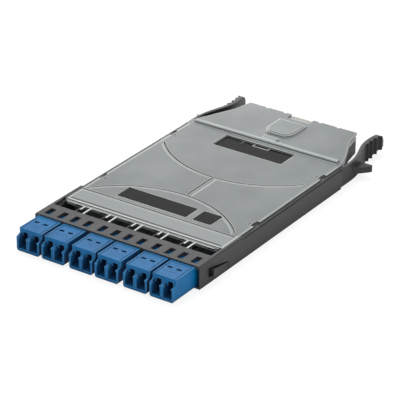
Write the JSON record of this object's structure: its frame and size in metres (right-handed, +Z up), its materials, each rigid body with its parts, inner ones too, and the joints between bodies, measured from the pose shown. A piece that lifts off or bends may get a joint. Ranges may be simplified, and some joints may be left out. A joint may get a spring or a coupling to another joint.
{
  "type": "fibre cassette",
  "caption": "Flat fibre cassette with a row of blue duplex LC adapters in front, a clear cover, ribbed release arms at the rear corners and a multi-fibre port behind.",
  "frame": {"origin": "middle of the bezel's front face, at the level of the underside", "axes": "+X to the right seen from the adapters, +Y from the adapters to the rear, +Z up through the cover"},
  "size_m": [0.1018, 0.1828, 0.0125],
  "materials": {
    "tray_plastic": "fine matte texture",
    "clear_cover": "frosted clear polycarbonate",
    "adapter_plastic": "satin blue",
    "sleeve_ceramic": "polished zirconia",
    "plug_plastic": "dark satin",
    "fibre_tube": "smooth jacket",
    "fan_out_plastic": "matte",
    "trunk_tube": "smooth jacket",
    "mpo_plug_plastic": "matte",
    "mpo_adapter_plastic": "matte beige",
    "arm_plastic": "fine matte texture"
  },
  "bodies": {
    "cassette": {"base_tray": "tray_plastic", "cover": "clear_cover", "lc_adapter_1": "adapter_plastic", "lc_adapter_2": "adapter_plastic", "lc_adapter_3": "adapter_plastic", "lc_adapter_4": "adapter_plastic", "lc_adapter_5": "adapter_plastic", "lc_adapter_6": "adapter_plastic", "split_sleeve_1": "sleeve_ceramic", "split_sleeve_2": "sleeve_ceramic", "split_sleeve_3": "sleeve_ceramic", "split_sleeve_4": "sleeve_ceramic", "split_sleeve_5": "sleeve_ceramic", "split_sleeve_6": "sleeve_ceramic", "split_sleeve_7": "sleeve_ceramic", "split_sleeve_8": "sleeve_ceramic", "split_sleeve_9": "sleeve_ceramic", "split_sleeve_10": "sleeve_ceramic", "split_sleeve_11": "sleeve_ceramic", "split_sleeve_12": "sleeve_ceramic", "lc_connector_1": "plug_plastic", "lc_connector_2": "plug_plastic", "lc_connector_3": "plug_plastic", "lc_connector_4": "plug_plastic", "lc_connector_5": "plug_plastic", "lc_connector_6": "plug_plastic", "lc_connector_7": "plug_plastic", "lc_connector_8": "plug_plastic", "lc_connector_9": "plug_plastic", "lc_connector_10": "plug_plastic", "lc_connector_11": "plug_plastic", "lc_connector_12": "plug_plastic", "fibre_leg_1": "fibre_tube", "fibre_leg_2": "fibre_tube", "fibre_leg_3": "fibre_tube", "fibre_leg_4": "fibre_tube", "fibre_leg_5": "fibre_tube", "fibre_leg_6": "fibre_tube", "fibre_leg_7": "fibre_tube", "fibre_leg_8": "fibre_tube", "fibre_leg_9": "fibre_tube", "fibre_leg_10": "fibre_tube", "fibre_leg_11": "fibre_tube", "fibre_leg_12": "fibre_tube", "fan_out_block": "fan_out_plastic", "ribbon_trunk": "trunk_tube", "mpo_connector": "mpo_plug_plastic", "mpo_adapter": "mpo_adapter_plastic"},
    "left_arm": {"left_release_arm": "arm_plastic"},
    "right_arm": {"right_release_arm": "arm_plastic"},
    "left_latch": {"left_front_latch": "arm_plastic"},
    "right_latch": {"right_front_latch": "arm_plastic"}
  },
  "joints": [
    {"name": "left_arm_flex", "type": "hinge", "parent": "cassette", "child": "left_arm", "pos_m": [-0.0448, 0.1198, 0.0054], "axis": [0, 0, -1], "range_deg": [0, 7], "stiffness_Nm_per_rad": 1},
    {"name": "right_arm_flex", "type": "hinge", "parent": "cassette", "child": "right_arm", "pos_m": [0.0448, 0.1198, 0.0054], "axis": [0, 0, 1], "range_deg": [0, 7], "stiffness_Nm_per_rad": 1},
    {"name": "left_latch_flex", "type": "hinge", "parent": "cassette", "child": "left_latch", "pos_m": [-0.04495, 0.0226, 0.0025], "axis": [0, 0, 1], "range_deg": [0, 7.8], "stiffness_Nm_per_rad": 0.2},
    {"name": "right_latch_flex", "type": "hinge", "parent": "cassette", "child": "right_latch", "pos_m": [0.04495, 0.0226, 0.0025], "axis": [0, 0, -1], "range_deg": [0, 7.8], "stiffness_Nm_per_rad": 0.2}
  ]
}
